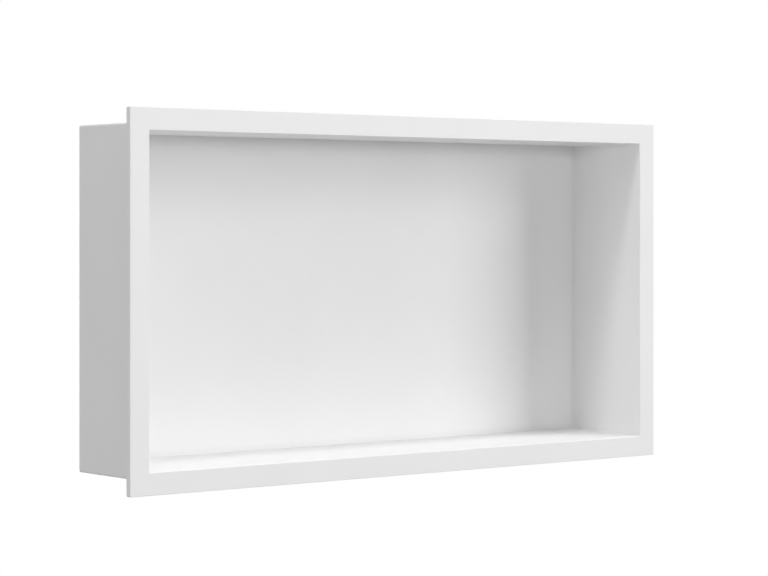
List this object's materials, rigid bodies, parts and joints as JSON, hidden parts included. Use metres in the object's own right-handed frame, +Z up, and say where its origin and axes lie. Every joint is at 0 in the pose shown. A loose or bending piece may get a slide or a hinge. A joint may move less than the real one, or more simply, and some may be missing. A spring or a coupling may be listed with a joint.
{
  "type": "shower niche insert",
  "caption": "Wide, shallow wall niche moulded in one piece with a flat front frame, built into a tiled shower wall to hold bottles and soap; its floor drains to the front.",
  "frame": {"origin": "middle of the opening, in the plane of the finished wall, which is the back of the frame", "axes": "+X across the niche to the right as seen from the front, +Y into the wall, +Z up"},
  "size_m": [0.64, 0.105, 0.34],
  "materials": {
    "matt_white_composite": "sanded matt"
  },
  "bodies": {
    "root": {"niche_insert": "matt_white_composite"}
  },
  "joints": []
}
